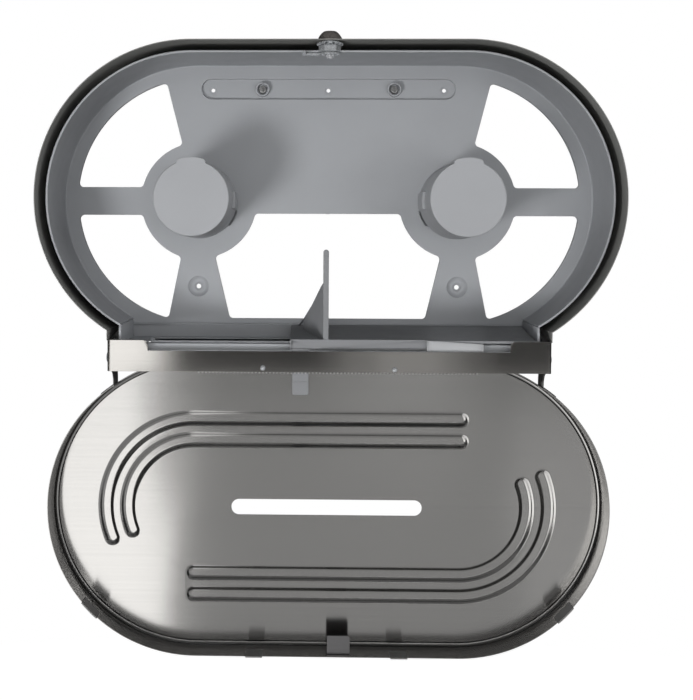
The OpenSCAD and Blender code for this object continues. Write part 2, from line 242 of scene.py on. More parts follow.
def rbox(x0, x1, y0, y1, z0, z1, r=0.4, seg=3):
    bm = bmesh.new()
    bmesh.ops.create_cube(bm, size=1.0)
    for v in bm.verts:
        v.co = Vector((x0 + (v.co.x + 0.5) * (x1 - x0), y0 + (v.co.y + 0.5) * (y1 - y0), z0 + (v.co.z + 0.5) * (z1 - z0)))
    if r > 0:
        bmesh.ops.bevel(bm, geom=list(bm.edges), offset=r, segments=seg, profile=0.5, affect="EDGES", clamp_overlap=True)
    m = Mesh()
    bm.verts.ensure_lookup_table()
    m.v = [tuple(v.co) for v in bm.verts]
    m.f = [tuple(v.index for v in f.verts) for f in bm.faces]
    bm.free()
    return m


def arc(cx, cy, r, a0, a1, n):
    return [(cx + r * math.cos(rad(a0 + (a1 - a0) * i / n)), cy + r * math.sin(rad(a0 + (a1 - a0) * i / n))) for i in range(n + 1)]


def circle(cx, cy, r, n=72):
    return arc(cx, cy, r, 0, 360, n)[:-1]


def round_poly(pts, rs, n=8):
    """polygon with its corners rounded; rs is one radius or one for each corner"""
    out = []
    m = len(pts)
    if not isinstance(rs, (list, tuple)):
        rs = [rs] * m
    for i in range(m):
        p0, p1, p2 = Vector(pts[i - 1]), Vector(pts[i]), Vector(pts[(i + 1) % m])
        r = rs[i]
        a = (p0 - p1)
        b = (p2 - p1)
        la, lb = a.length, b.length
        a.normalize()
        b.normalize()
        ang = math.acos(max(-1, min(1, a.dot(b))))
        if r <= 0 or ang > PI - 1e-3:
            out.append(tuple(p1))
            continue
        t = min(r / math.tan(ang / 2), la * 0.49, lb * 0.49)
        r2 = t * math.tan(ang / 2)
        c = p1 + (a + b).normalized() * (r2 / math.sin(ang / 2))
        s = p1 + a * t - c
        e = p1 + b * t - c
        t0 = math.atan2(s.y, s.x)
        t1 = math.atan2(e.y, e.x)
        d = t1 - t0
        while d > PI:
            d -= 2 * PI
        while d < -PI:
            d += 2 * PI
        for k in range(n + 1):
            q = t0 + d * k / n
            out.append((c.x + r2 * math.cos(q), c.y + r2 * math.sin(q)))
    return out


def stadium(r, cx=0.0, cz=0.0, n=64, hx=HC):
    right = arc(cx + hx, cz, r, -90, 90, n)
    left = arc(cx - hx, cz, r, 90, 270, n)
    return right + left


def ang_of(v):
    return math.atan2(v[1], v[0])


def blend_shape(prims, corners, R, n=8, step=2.0):
    """closed outline made of lines and circles in turn, with every corner rounded to R.
    A line is ('l', point, unit normal to the inside), a circle ('c', centre, radius, side), side +1 where the inside of the outline is inside the circle."""
    m = len(prims)

    def solve(a, b, guess):
        p = Vector(guess)
        for _ in range(60):
            rows = []
            for q in (a, b):
                if q[0] == "l":
                    nn = Vector(q[2])
                    rows.append((nn, (p - Vector(q[1])).dot(nn) - R))
                else:
                    d = p - Vector(q[1])
                    L = d.length
                    u = d / L
                    if q[3] > 0:
                        rows.append((-u, q[2] - L - R))
                    else:
                        rows.append((u, L - q[2] - R))
            (n1, f1), (n2, f2) = rows
            det = n1.x * n2.y - n1.y * n2.x
            dx = (-f1 * n2.y + f2 * n1.y) / det
            dy = (-n1.x * f2 + n2.x * f1) / det
            p = p + Vector((dx, dy))
            if abs(f1) + abs(f2) < 1e-9:
                break
        return p

    def foot(q, p):
        if q[0] == "l":
            nn = Vector(q[2])
            return p - nn * (p - Vector(q[1])).dot(nn)
        d = (p - Vector(q[1])).normalized()
        return Vector(q[1]) + d * q[2]

    cen = [solve(prims[i], prims[(i + 1) % m], corners[i]) for i in range(m)]
    out = []
    for i in range(m):
        c = cen[i]
        t0 = foot(prims[i], c)
        t1 = foot(prims[(i + 1) % m], c)
        # along primitive i, from the last corner's end to t0
        q = prims[i]
        s0 = foot(q, cen[i - 1])
        if q[0] == "c":
            cc = Vector(q[1])
            a0 = ang_of(s0 - cc)
            a1 = ang_of(t0 - cc)
            d = a1 - a0
            while d > PI:
                d -= 2 * PI
            while d < -PI:
                d += 2 * PI
            k = max(2, int(abs(d) * q[2] / step))
            for j in range(1, k):
                out.append((cc.x + q[2] * math.cos(a0 + d * j / k), cc.y + q[2] * math.sin(a0 + d * j / k)))
        a0 = ang_of(t0 - c)
        a1 = ang_of(t1 - c)
        d = a1 - a0
        while d > PI:
            d -= 2 * PI
        while d < -PI:
            d += 2 * PI
        for j in range(n + 1):
            out.append((c.x + R * math.cos(a0 + d * j / n), c.y + R * math.sin(a0 + d * j / n)))
    return clean(out)


def mirror_x(m):
    r = Mesh()
    r.v = [(-x, y, z) for x, y, z in m.v]
    r.f = [tuple(f[::-1]) for f in m.f]
    return r


def build(name, m, mat, body, repl=(), sharp=32, weighted=True):
    me = bpy.data.meshes.new(name)
    bm = bmesh.new()
    vs = [bm.verts.new((x * K, y * K, z * K)) for x, y, z in m.v]
    for f in m.f:
        if len(set(f)) < 3:
            continue
        try:
            bm.faces.new([vs[i] for i in dict.fromkeys(f)])
        except ValueError:
            pass
    bmesh.ops.remove_doubles(bm, verts=bm.verts, dist=0.000004)
    bmesh.ops.dissolve_degenerate(bm, edges=bm.edges, dist=0.000003)
    bmesh.ops.recalc_face_normals(bm, faces=bm.faces)
    bm.to_mesh(me)
    bm.free()
    me.polygons.foreach_set("use_smooth", [True] * len(me.polygons))
    me.set_sharp_from_angle(angle=rad(sharp))
    me.materials.append(mat)
    o = bpy.data.objects.new(name, me)
    bpy.context.scene.collection.objects.link(o)
    if weighted:
        w = o.modifiers.new("normals", "WEIGHTED_NORMAL")
        w.mode = "FACE_AREA"
        w.weight = 50
        w.keep_sharp = True
    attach(o, body)
    if repl:
        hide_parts(*repl)
    return o


# ------------------------------------------------------------------ materials
def new_mat(name):
    m = bpy.data.materials.new(name)
    m.use_nodes = True
    nt = m.node_tree
    nt.nodes.clear()
    out = nt.nodes.new("ShaderNodeOutputMaterial")
    b = nt.nodes.new("ShaderNodeBsdfPrincipled")
    nt.links.new(b.outputs[0], out.inputs[0])
    tc = nt.nodes.new("ShaderNodeTexCoord")
    return m, nt, b, tc.outputs["Object"]


def noise(nt, vec, scale, detail=3.0, rough=0.5, stretch=None):
    if stretch is not None:
        mp = nt.nodes.new("ShaderNodeMapping")
        mp.inputs["Scale"].default_value = stretch
        nt.links.new(vec, mp.inputs["Vector"])
        vec = mp.outputs[0]
    n = nt.nodes.new("ShaderNodeTexNoise")
    n.inputs["Scale"].default_value = scale
    n.inputs["Detail"].default_value = detail
    n.inputs["Roughness"].default_value = rough
    nt.links.new(vec, n.inputs["Vector"])
    return n.outputs["Fac"]


def remap(nt, val, a, b, lo=0.3, hi=0.7):
    r = nt.nodes.new("ShaderNodeMapRange")
    r.inputs["From Min"].default_value = lo
    r.inputs["From Max"].default_value = hi
    r.inputs["To Min"].default_value = a
    r.inputs["To Max"].default_value = b
    nt.links.new(val, r.inputs["Value"])
    return r.outputs["Result"]


def mix_col(nt, fac, c0, c1):
    r = nt.nodes.new("ShaderNodeValToRGB")
    r.color_ramp.elements[0].position = 0.3
    r.color_ramp.elements[0].color = (*c0, 1)
    r.color_ramp.elements[1].position = 0.7
    r.color_ramp.elements[1].color = (*c1, 1)
    nt.links.new(fac, r.inputs["Fac"])
    return r.outputs["Color"]


def add(nt, a, b):
    n = nt.nodes.new("ShaderNodeMath")
    n.operation = "ADD"
    nt.links.new(a, n.inputs[0])
    nt.links.new(b, n.inputs[1])
    return n.outputs[0]


def bump(nt, bsdf, height, strength, dist, normal=None):
    n = nt.nodes.new("ShaderNodeBump")
    n.inputs["Strength"].default_value = strength
    n.inputs["Distance"].default_value = dist
    nt.links.new(height, n.inputs["Height"])
    if normal is not None:
        nt.links.new(normal, n.inputs["Normal"])
    if bsdf is not None:
        nt.links.new(n.outputs[0], bsdf.inputs["Normal"])
    return n.outputs[0]


def plastic(name, col, rough=(0.42, 0.56), var=0.05, spec=0.4):
    m, nt, b, co = new_mat(name)
    big = noise(nt, co, 7.0, 4.0, 0.55)
    lo = tuple(c * (1 - var) for c in col)
    hi = tuple(min(1, c * (1 + var)) for c in col)
    nt.links.new(mix_col(nt, big, lo, hi), b.inputs["Base Color"])
    mid = noise(nt, co, 45.0, 5.0, 0.6)
    nt.links.new(remap(nt, mid, rough[0], rough[1]), b.inputs["Roughness"])
    fine = noise(nt, co, 1500.0, 2.0, 0.5)
    flow = noise(nt, co, 30.0, 2.0, 0.5)
    first = bump(nt, None, flow, 0.12, 0.0006)
    bump(nt, b, fine, 0.22, 0.00006, first)
    b.inputs["Specular IOR Level"].default_value = spec
    return m


def brushed(name, col, rough=(0.26, 0.31), aniso=0.9, metallic=1.0, strength=0.1, dist=0.00001, wave=0.0, var=0.035, smudge=0.03):
    """steel brushed along X, the direction that every hinge turns about"""
    m, nt, b, co = new_mat(name)
    lines = noise(nt, co, 1.0, 3.0, 0.6, (4.0, 2200.0, 2200.0))
    broad = noise(nt, co, 1.0, 4.0, 0.6, (1.2, 420.0, 420.0))
    cloud = noise(nt, co, 6.0, 4.0, 0.6)
    lo = tuple(c * (1 - var) for c in col)
    hi = tuple(min(1, c * (1 + var)) for c in col)
    nt.links.new(mix_col(nt, broad, lo, hi), b.inputs["Base Color"])
    r1 = remap(nt, lines, rough[0], rough[1])
    r2 = remap(nt, cloud, -smudge, smudge)
    nt.links.new(add(nt, r1, r2), b.inputs["Roughness"])
    b.inputs["Metallic"].default_value = metallic
    b.inputs["Anisotropic"].default_value = aniso
    b.inputs["Anisotropic Rotation"].default_value = 0.25
    tg = nt.nodes.new("ShaderNodeCombineXYZ")
    tg.inputs[0].default_value = 1.0
    nt.links.new(tg.outputs[0], b.inputs["Tangent"])
    nrm = None
    if wave > 0:
        slow = noise(nt, co, 4.5, 1.5, 0.4)
        nrm = bump(nt, None, slow, wave, 0.004)
    bump(nt, b, lines, strength, dist, nrm)
    return m


def zinc(name, col=(0.62, 0.64, 0.66), rough=(0.14, 0.3), metal=0.6):
    m, nt, b, co = new_mat(name)
    n1 = noise(nt, co, 220.0, 4.0, 0.6)
    n2 = noise(nt, co, 900.0, 2.0, 0.5)
    nt.links.new(mix_col(nt, n1, tuple(c * 0.86 for c in col), tuple(min(1, c * 1.08) for c in col)), b.inputs["Base Color"])
    nt.links.new(remap(nt, n1, rough[0], rough[1]), b.inputs["Roughness"])
    b.inputs["Metallic"].default_value = metal
    bump(nt, b, n2, 0.25, 0.00003)
    return m


M_PLAS = plastic("plastic_grey", (0.335, 0.345, 0.362))
M_HUB = plastic("plastic_hub", (0.355, 0.363, 0.38))
M_LIGHT = plastic("plastic_light_grey", (0.225, 0.23, 0.24))
# brushed steel for the band with its base colour darkened to paint the shade that falls on the band
M_BAND_PAINTED_SHADE = brushed("steel_band_painted_shade", (0.3, 0.3, 0.288), (0.5, 0.6), 0.2, 0.25, strength=0.2)
M_FACE = brushed("steel_cover", (0.63, 0.62, 0.605), (0.14, 0.155), 0.88, 1.0, strength=0.06, wave=0.5, var=0.02, smudge=0.012)
M_RIM = brushed("steel_rim", (0.25, 0.248, 0.245), (0.26, 0.32), 0.5, 1.0)
M_LATCH = brushed("steel_latch", (0.13, 0.128, 0.13), (0.3, 0.4), 0.3, 0.4, strength=0.3)
M_SCREW = zinc("zinc_screw", (0.4, 0.4, 0.4), (0.18, 0.34), 0.6)
M_CLIP = brushed("steel_clip", (0.2, 0.198, 0.195), (0.35, 0.45), 0.3, 0.35, strength=0.3)
M_STRIP = brushed("steel_strip", (0.66, 0.64, 0.61), (0.085, 0.1), 0.4, 1.0, strength=0.05, wave=0.08, var=0.02, smudge=0.006)
M_BLADE = brushed("steel_blade", (0.72, 0.71, 0.69), (0.3, 0.4), 0.5, 1.0)
M_ZINC = zinc("zinc_bright", (0.56, 0.58, 0.6), (0.16, 0.34), 0.6)
M_STAR = zinc("zinc_star", (0.75, 0.76, 0.78), (0.12, 0.25))
M_ZINC_D = zinc("zinc_dark", (0.2, 0.185, 0.175), (0.22, 0.36), 0.45)
M_NYLON = plastic("nylon", (0.72, 0.72, 0.69), (0.35, 0.5))
# near-black plastic meant to paint the shade inside holes; not assigned to any part
M_HOLE_SHADE = plastic("painted_hole_shade", (0.02, 0.02, 0.022), (0.6, 0.8))

# ------------------------------------------------------------------ cabinet band
def sweep(stations, profile):
    """stations (bx, bz, nx, nz); profile(i) gives points (u, y) of a closed section"""
    rings = []
    for i, (bx, bz, nx, nz) in enumerate(stations):
        rings.append([(bx + nx * u, y, bz + nz * u) for u, y in profile(i)])
    return rings


def cab_stations(x_end, r, n=72):
    """from the lower right end of the cabinet round the top to the lower left, open at the bottom where |x| < x_end"""
    a = math.degrees(math.acos((x_end - HC) / r))
    st = []
    for i in range(n + 1):
        t = rad(-a + (90 + a) * i / n)
        st.append((HC, 0, math.cos(t), math.sin(t)))
    for i in range(1, 24):
        st.append((HC - 2 * HC * i / 24, 0, 0, 1))
    for i in range(n + 1):
        t = rad(90 + (90 + a) * i / n)
        st.append((-HC, 0, math.cos(t), math.sin(t)))
    return st


band = Mesh()
bprof = [(141.2, -0.9), (141.2, -99.7), (141.1, -99.93), (140.8, -100.0), (140.5, -99.93), (140.4, -99.7), (140.4, -1.9),
         (140.1, -1.1), (139.4, -0.8), (124.2, -0.8), (124.0, -0.6), (124.0, -0.2), (124.2, 0.0), (139.9, 0.0), (140.8, -0.3)]
band.add(tube(sweep(cab_stations(199.3, 141.2), lambda i: bprof)))
# lugs at the lower ends
for s in (1, -1):
    lug = plate([round_poly([(-66, -136), (-62, -140), (-8, -140), (-8, -119.4), (-98.4, -119.4), (-98.4, -128), (-90, -129)], [4, 2, 3, 0.5, 0.5, 1, 3])], 199.15, 199.95, YZ, 0.2)
    band.add(lug if s > 0 else mirror_x(lug))
# the band uses the steel darkened to paint its shade
build("band", band, M_BAND_PAINTED_SHADE, "cabinet", ["cabinet_band"])

# ------------------------------------------------------------------ tray moulding
tray = Mesh()
R_IN, R_OUT = 130.8, 133.0
# wall with a rounded front edge and a fillet into the panel
wprof = [(133.0, -5.0), (133.0, -87.2), (132.75, -87.75), (132.3, -88.0), (131.5, -88.0), (131.05, -87.75), (130.8, -87.2)]
wprof.append((130.2, -8.2))
for k in range(6):
    t = k / 5 * PI / 2
    wprof.append((128.7 + 1.5 * math.cos(t), -7.5 + 1.5 * math.sin(t)))
wprof += [(128.7, -5.0)]
wst = cab_stations(189.2, 131.9, 80)


def wall_profile(i):
    return wprof


tray.add(tube(sweep(wst, wall_profile)))


def panel_windows():
    rr = 4.0
    up_dir = Vector((177.4 - 129.9, 200 - 13.4)).normalized()
    lo_dir = Vector((161.3 - 133.5, -150 + 13.4)).normalized()
    up = blend_shape([
        ("l", (0, 13.4), (0, 1)),
        ("c", (HC, 0), 118.0, 1),
        ("l", (129.9, 13.4), (up_dir.y, -up_dir.x)),
        ("c", (HC, 0), 56.5, -1)],
        [(236, 18), (158, 108), (146, 62), (186, 20)], rr)
    low = blend_shape([
        ("l", (0, -13.4), (0, -1)),
        ("c", (HC, 0), 56.5, -1),
        ("l", (133.5, -13.4), (-lo_dir.y, lo_dir.x)),
        ("c", (HC, 0), 117.3, 1)],
        [(186, -20), (148, -62), (160, -105), (236, -18)], rr)
    e = Vector((94.4 - 109.5, -113 + 50)).normalized()
    mid = blend_shape([
        ("l", (0, -11.8), (0, -1)),
        ("c", (HC, 0), 55.0, -1),
        ("l", (109.5, -50), (e.y, -e.x)),
        ("l", (0, -113), (0, 1)),
        ("l", (-109.5, -50), (-e.y, -e.x)),
        ("c", (-HC, 0), 55.0, -1)],
        [(64, -17), (103, -58), (88, -108), (-88, -108), (-103, -58), (-64, -17)], rr)
    return up, low, mid


w_up, w_low, w_mid = panel_windows()
neg = lambda lp: [(-x, y) for x, y in lp]


def bore(cx, sign):
    spans = ((-40, -14), (140, 166)) if sign < 0 else ((-166, -140), (14, 40))
    pts = []
    edges = []
    for a, b in spans:
        edges += [a, b]
    for k in range(0, 721):
        t = -180 + k * 0.5
        if k == 720:
            break
        r = 34.4
        for a, b in spans:
            if a <= t <= b:
                # rounded ends of the slit
                d = min(t - a, b - t) * rad(1) * 37
                r = 34.4 + 3.0 * (1 if d > 1.2 else math.sqrt(max(0.0, 1 - (1 - d / 1.2) ** 2)))
        pts.append((cx + r * math.cos(rad(t)), r * math.sin(rad(t))))
    return pts


ax = 190.2
ang = math.degrees(math.acos((ax - HC) / 132.0))
outline = [(ax, -133.5)] + arc(HC, 0, 132.0, -ang, 90, 80) + arc(-HC, 0, 132.0, 90, 180 + ang, 80) + [(-ax, -133.5)]
slot_o = stadium(9.65, 0, 107.65, 24, 112.25)
dim_c = [(-124.8, -82.2), (124.8, -82.2)]
holes = [w_up, neg(w_up), w_low, neg(w_low), w_mid, bore(-HC, -1), bore(HC, 1), slot_o] + [circle(x, z, 9.75, 60) for x, z in dim_c]
tray.add(plate([outline] + holes, -6.0, -3.5, XZ, 0.4, 0.2, 4))
# returned edges behind the windows
for w in (w_up, neg(w_up), w_low, neg(w_low), w_mid):
    lp = cw(clean(w))
    tray.add(plate([inset(lp, 2.0), inset(lp, 0.04)], -3.6, -0.85, XZ, 0.0, 0.5))

# sunk strip for the wall screws
def pocket(loop, y_top, y_floor, r_in, floor_holes=()):
    m = Mesh()
    lp = ccw(clean(loop))
    steps = [(0.0, y_top), (0.12, y_floor - r_in)]
    for k in range(1, 6):
        t = k / 5 * PI / 2
        steps.append((0.12 + r_in * (1 - math.cos(t)), y_floor - r_in * (1 - math.sin(t))))
    rs = [m.ring([(u, w, v) for u, v in inset(lp, d)]) for d, w in steps]
    for a, b in zip(rs, rs[1:]):
        m.bridge(a, b)
    last = inset(lp, steps[-1][0])
    hl = [cw(clean(h)) for h in floor_holes]
    idx = list(rs[-1])
    for h in hl:
        idx += m.ring([(u, y_floor, v) for u, v in h])
    m.tris(idx, fill([last] + hl))
    return m


small = [circle(x, 106.7, 3.6, 32) for x in (-111, 0, 111)]
bosses = [circle(x, 107.4, 6.5, 40) for x in (-63.2, 63.2)]
tray.add(pocket(slot_o, -5.7, -2.5, 0.7, small + bosses))
for x in (-111, 0, 111):
    tray.add(lathe([(3.6, -2.5), (3.5, -2.2), (3.3, -1.9), (2.1, -1.9), (1.8, -1.75), (1.8, -0.9)], (x, 0, 106.7), "y", 32))
for x in (-63.2, 63.2):
    tray.add(lathe([(7.4, -2.5), (6.9, -2.65), (6.7, -3.0), (6.7, -7.1), (6.55, -7.45), (6.2, -7.6), (5.7, -7.6), (5.35, -7.45), (5.2, -7.1), (5.2, -2.5), (2.15, -2.5), (2.15, -1.0)], (x, 0, 107.4), "y", 56))
# dished dimples
for x, z in dim_c:
    tray.add(lathe([(9.75, -5.5), (9.6, -5.0), (8.9, -4.2), (7.4, -3.0), (6.6, -2.65), (5.4, -2.6), (4.9, -2.9), (4.4, -3.0), (3.9, -2.8), (3.5, -2.2), (3.3, -1.7), (2.4, -1.6), (2.2, -1.4), (2.2, -0.9)], (x, 0, z), "y", 60))
# housings of the bayonet behind the panel
for s in (-1, 1):
    tray.add(lathe([(39.0, -3.6), (39.0, -1.05), (2.0, -1.05), (2.0, -0.75), (40.6, -0.75), (41.0, -1.1), (41.0, -3.6)], (s * HC, 0, 0), "y", 96))
# floor of the trough with its two outlets
out_l = [round_poly([(s * 28, -78), (s * 168, -78), (s * 168, -30), (s * 28, -30)], 4, 6) for s in (-1, 1)]
tray.add(plate([[(-189.9, -88.6), (189.9, -88.6), (189.9, -5.0), (-189.9, -5.0)]] + out_l, -131.0, -133.5, XY, 0.0, 0.5))
for s in (-1, 1):
    tray.add(rbox(min(s * 27.6, s * 168.6), max(s * 27.6, s * 168.6), -30.0, -28.0, -141.0, -130.6, 0.6))
tray.add(rbox(-186.5, 186.5, -29.8, -28.2, -144.2, -138.8, 0.5))
# front face, side walls and hold-down rib
tray.add(rbox(-190.2, 190.2, -90.0, -88.0, -137.0, -131.0, 0.6))
for s in (-1, 1):
    side = plate([round_poly([(-89.5, -133.4), (-5.0, -133.4), (-5.0, -114.6), (-87.2, -114.6), (-89.3, -118)], [0.8, 0, 0, 0.8, 1.5], 4)], 187.9, 190.2, YZ, 0.4)
    tray.add(side if s > 0 else mirror_x(side))
tray.add(rbox(-187.95, 187.95, -9.3, -5.5, -118.9, -117.9, 0.3))
# thin lips that close the bottom of the gap to the band
for s in (-1, 1):
    st = cab_stations(202, 139.0, 72)
tray.add(tube(sweep(cab_stations(202.5, 137.0), lambda i: [(132.5, -3.3), (140.2, -3.3), (140.3, -3.1), (140.3, -1.5), (140.2, -1.3), (132.5, -1.3)])))
# pads against the wall
tray.add(lathe([(12, -3.6), (12, -0.3), (11.7, 0.0), (0.0, 0.0)], (0, 0, 0), "y", 48))
for x, z in dim_c:
    tray.add(lathe([(9.8, -3.6), (11.6, -3.5), (11.75, -0.3), (11.4, 0.0), (2.4, 0.0)], (x, 0, z), "y", 48))
build("tray_moulding", tray, M_PLAS, "cabinet",
      ["panel_left", "panel_middle", "panel_sill", "panel_right", "tray_wall", "outlet_trough"], sharp=40)

# ------------------------------------------------------------------ roll hubs
for s, nm in ((-1, "left"), (1, "right")):
    h = Mesh()
    prof = [(31.9, -1.3), (32.1, -1.2), (34.1, -1.2), (34.3, -1.4), (34.3, -6.05), (35.7, -6.05), (35.9, -6.3)]
    prof += [(34.12 + (1.78) * (1 - k / 6), -6.3 - (97.4 - 6.3) * k / 6) for k in range(1, 7)]
    for k in range(1, 7):
        t = k / 6 * PI / 2
        prof.append((33.0 + 1.12 * math.cos(t), -97.88 - 1.12 * math.sin(t)))
    prof += [(16.0, -99.0), (0.0, -99.0)]
    h.add(lathe(prof, (s * HC, 0, 0), "y", 128))
    inner = [(0.0, -96.6), (31.0, -96.6), (31.6, -96.2), (32.6, -10.0), (31.9, -1.3)]
    h.add(lathe(inner, (s * HC, 0, 0), "y", 96))
    # retaining lip
    lip = [(-13.2, 26.0), (13.2, 26.0), (13.2, 32.6), (12.9, 33.6), (12.2, 34.4)] + arc(0, 0, 36.88, 71.3, 108.7, 20) + [(-12.2, 34.4), (-12.9, 33.6), (-13.2, 32.6)]
    h.add(plate([[(s * HC + u, v) for u, v in lip]], -98.98, -95.4, XZ, 0.6, 0.6, 4))
    # web under the lip
    h.add(rbox(s * HC - 9.5, s * HC + 9.5, -96.0, -90.0, 30.0, 34.6, 0.8))
    for a in (0, 180):
        for (ra, rb, ha, ya, yb, rr) in ((33.0, 37.2, 13, -52.0, -6.1, 0.8), (32.5, 37.0, 11, -3.4, -1.2, 0.3)):
            lp = arc(s * HC, 0, rb, a - ha, a + ha, 14) + arc(s * HC, 0, ra, a + ha, a - ha, 14)
            h.add(plate([lp], ya, yb, XZ, rr, 0.2, 3))
    build("hub_%s_moulding" % nm, h, M_HUB, "hub_%s" % nm, ["spindle_%s" % nm], sharp=38)

# ------------------------------------------------------------------ tear strip
strip = Mesh()
half = [(162.3, -136.8), (162.3, -131.6), (162.65, -129.9), (163.6, -128.5), (165.0, -127.65), (166.6, -127.4), (196.5, -127.4), (196.5, -155.8)]
lp = [(-x, z) for x, z in half] + [(x, z) for x, z in half[::-1]]
# front sheet with a rolled bend at each end
strip.add(plate([lp], -100.0, -99.1, XZ, 0.28, 0.2, 3))
fl_poly = [(-99.0, -127.4), (-8.0, -121.0), (-8.0, -140.0), (-60.0, -142.0), (-66.0, -152.0), (-72.0, -155.8), (-99.0, -155.8)]
for s in (1, -1):
    bend = Mesh()
    rings = []
    ro, ri = 2.6, 1.7
    outer = [(196.5 + ro * math.sin(rad(t)), -97.4 - ro * math.cos(rad(t))) for t in range(0, 91, 6)]
    inner = [(196.5 + ri * math.sin(rad(t)), -97.4 - ri * math.cos(rad(t))) for t in range(90, -1, -6)]
    sec = outer + inner
    for z, d in ((-127.4, 0.2), (-127.6, 0.0), (-155.6, 0.0), (-155.8, 0.2)):
        rings.append([(x, y, z) for x, y in inset(sec, d)])
    bend.add(tube(rings))
    fl = plate([round_poly([(-97.4, -127.4), (-8.0, -121.0), (-8.0, -140.0), (-60.0, -142.0), (-66.0, -152.0), (-72.0, -155.8), (-97.4, -155.8)], [0, 2, 2, 3, 4, 3, 0], 5)], 199.1, 198.2, YZ, 0.25)
    bend.add(fl)
    strip.add(bend if s > 0 else mirror_x(bend))
build("tear_strip", strip, M_STRIP, "cabinet", ["tear_bar"], sharp=35)


def dome(r, h, n=10):
    return [(r * math.sin(k / n * PI / 2), h * math.cos(k / n * PI / 2)) for k in range(n + 1)]


rv = Mesh()
for x, z in ((-58.7, -152.0), (59.3, -152.9)):
    prof = [(0.0, -101.45)] + [(r, -100.12 - h) for r, h in dome(2.35, 1.33)][1:] + [(2.4, -100.02), (1.48, -100.0), (1.48, -98.46), (0.0, -98.46)]
    rv.add(lathe(prof, (x, 0, z), "y", 48))
build("blade_rivet_heads", rv, M_ZINC, "cabinet", ["blade_rivets"], sharp=50)
rv = Mesh()
for s in (1, -1):
    for y, z in ((-50, -131), (-20, -130)):
        m = lathe([(0, 197.1), (2.2, 197.2), (3.0, 197.6), (3.0, 198.18), (1.48, 198.18), (1.48, 199.96), (2.6, 199.97), (2.5, 200.4), (1.9, 200.75), (0.9, 200.9), (0, 200.93)], (0, y, z), "x", 40)
        rv.add(m if s > 0 else mirror_x(m))
build("lug_rivet_heads", rv, M_ZINC, "cabinet", ["lug_rivets"], sharp=50)
for s, nm in ((-1, "left"), (1, "right")):
    m = lathe([(0, 196.8), (3.6, 196.8), (4.1, 197.1), (4.2, 197.5), (4.2, 198.1), (2.5, 198.15), (2.5, 201.4), (4.5, 201.4), (4.5, 201.8), (4.1, 202.3), (3.0, 202.65), (1.4, 202.8), (0, 202.82)], (0, HY, HZ), "x", 56)
    build("hinge_rivet_%s" % nm, m if s > 0 else mirror_x(m), M_ZINC, "cabinet", ["hinge_pin_%s" % nm], sharp=50)

# ------------------------------------------------------------------ lock
lk = Mesh()
lk.add(lathe([(5.1, 141.25), (12.0, 141.25), (12.1, 141.6), (12.0, 142.0), (11.2, 142.35), (10.7, 143.0), (10.0, 144.4), (8.9, 146.1), (7.6, 147.6), (6.6, 148.5), (5.9, 149.0), (5.3, 149.25), (5.05, 149.2), (5.05, 146.5)], (0, -88, 0), "z", 96))
build("lock_dome", lk, M_ZINC_D, "cabinet", ["lock_housing"], sharp=38)
th = Mesh()
prof = []
z = 130.6
while z < 141.2:
    prof += [(7.7, z), (8.0, z + 0.35), (7.7, z + 0.7)]
    z += 0.9
th.add(lathe([(5.1, 130.6)] + prof + [(5.1, 141.2)], (0, -88, 0), "z", 72))
build("lock_barrel_thread", th, M_ZINC, "cabinet", [], sharp=60)
rt = Mesh()
# bowed toothed retainer
n = 72
top, bot = [], []
rings = []
for rr in (8.1, 9.0, 10.0, 11.0, 11.9):
    rings.append([(rr * math.cos(2 * PI * i / n), rr * math.sin(2 * PI * i / n)) for i in range(n)])


def bow(x, y, rr):
    return 0.85 * (1 - (x / 12.0) ** 2) * 1.0


m = Mesh()
idt = [m.ring([(x, -88 + y, 139.5 + bow(x, y, 0) - 0.9) for x, y in r]) for r in rings]
idb = [m.ring([(x, -88 + y, 138.7 + bow(x, y, 0) - 0.9) for x, y in r]) for r in rings]
for a, b in zip(idt, idt[1:]):
    m.bridge(a, b)
for a, b in zip(idb, idb[1:]):
    m.bridge(a, b)
m.bridge(idt[0], idb[0])
m.bridge(idt[-1], idb[-1])
rt.add(m)
for k in range(12):
    a = k * 30
    t = rbox(8.7, 11.7, -1.5, 1.5, 136.9, 138.3, 0.35)
    c, s_ = math.cos(rad(a)), math.sin(rad(a))
    rt.add(t.mapped(lambda p, c=c, s_=s_: (p[0] * c - p[1] * s_, -88 + p[0] * s_ + p[1] * c, p[2] + bow(p[0] * c - p[1] * s_, 0, 0) - 0.3)))
build("lock_washer", rt, M_ZINC, "cabinet", ["lock_retainer"], sharp=40)
nut = Mesh()
hexp = [(10.2 * math.cos(rad(60 * i)), -88 + 10.2 * math.sin(rad(60 * i))) for i in range(6)]
nut.add(plate([round_poly(hexp, 1.6, 5), circle(0, -88, 8.05, 60)], 136.8, 131.0, XY, 0.7, 0.7, 4))
build("lock_hex_nut", nut, M_ZINC, "cabinet", ["lock_nut"], sharp=40)
pl = Mesh()
pl.add(plate([circle(0, -88, 5.0, 64), round_poly([(-3.2, -88.7), (3.2, -88.7), (3.2, -87.3), (-3.2, -87.3)], 0.4, 3)], 149.05, 145.0, XY, 0.3, 0.0, 3))
pl.add(lathe([(5.0, 145.2), (5.0, 130.7), (4.8, 130.45), (1.6, 130.45)], (0, -88, 0), "z", 64))
pl.add(lathe([(5.0, 145.05), (0.0, 145.05)], (0, -88, 0), "z", 64))
build("lock_key_plug", pl, M_ZINC, "lock_cylinder", ["lock_plug"], sharp=40)
cam = Mesh()
eye = arc(0, 0, 8.6, -128, 132, 40)
cam_out = eye + [(-9.5, 6.4), (-23.4, 6.4), (-24.6, 5.8), (-25, 4.6), (-25, -14.6), (-24.6, -15.6), (-23.4, -16.0), (-22.0, -15.6), (-21.4, -14.6), (-21.4, -0.9), (-21.25, -0.55), (-20.9, -0.4), (-10.5, -0.4)]
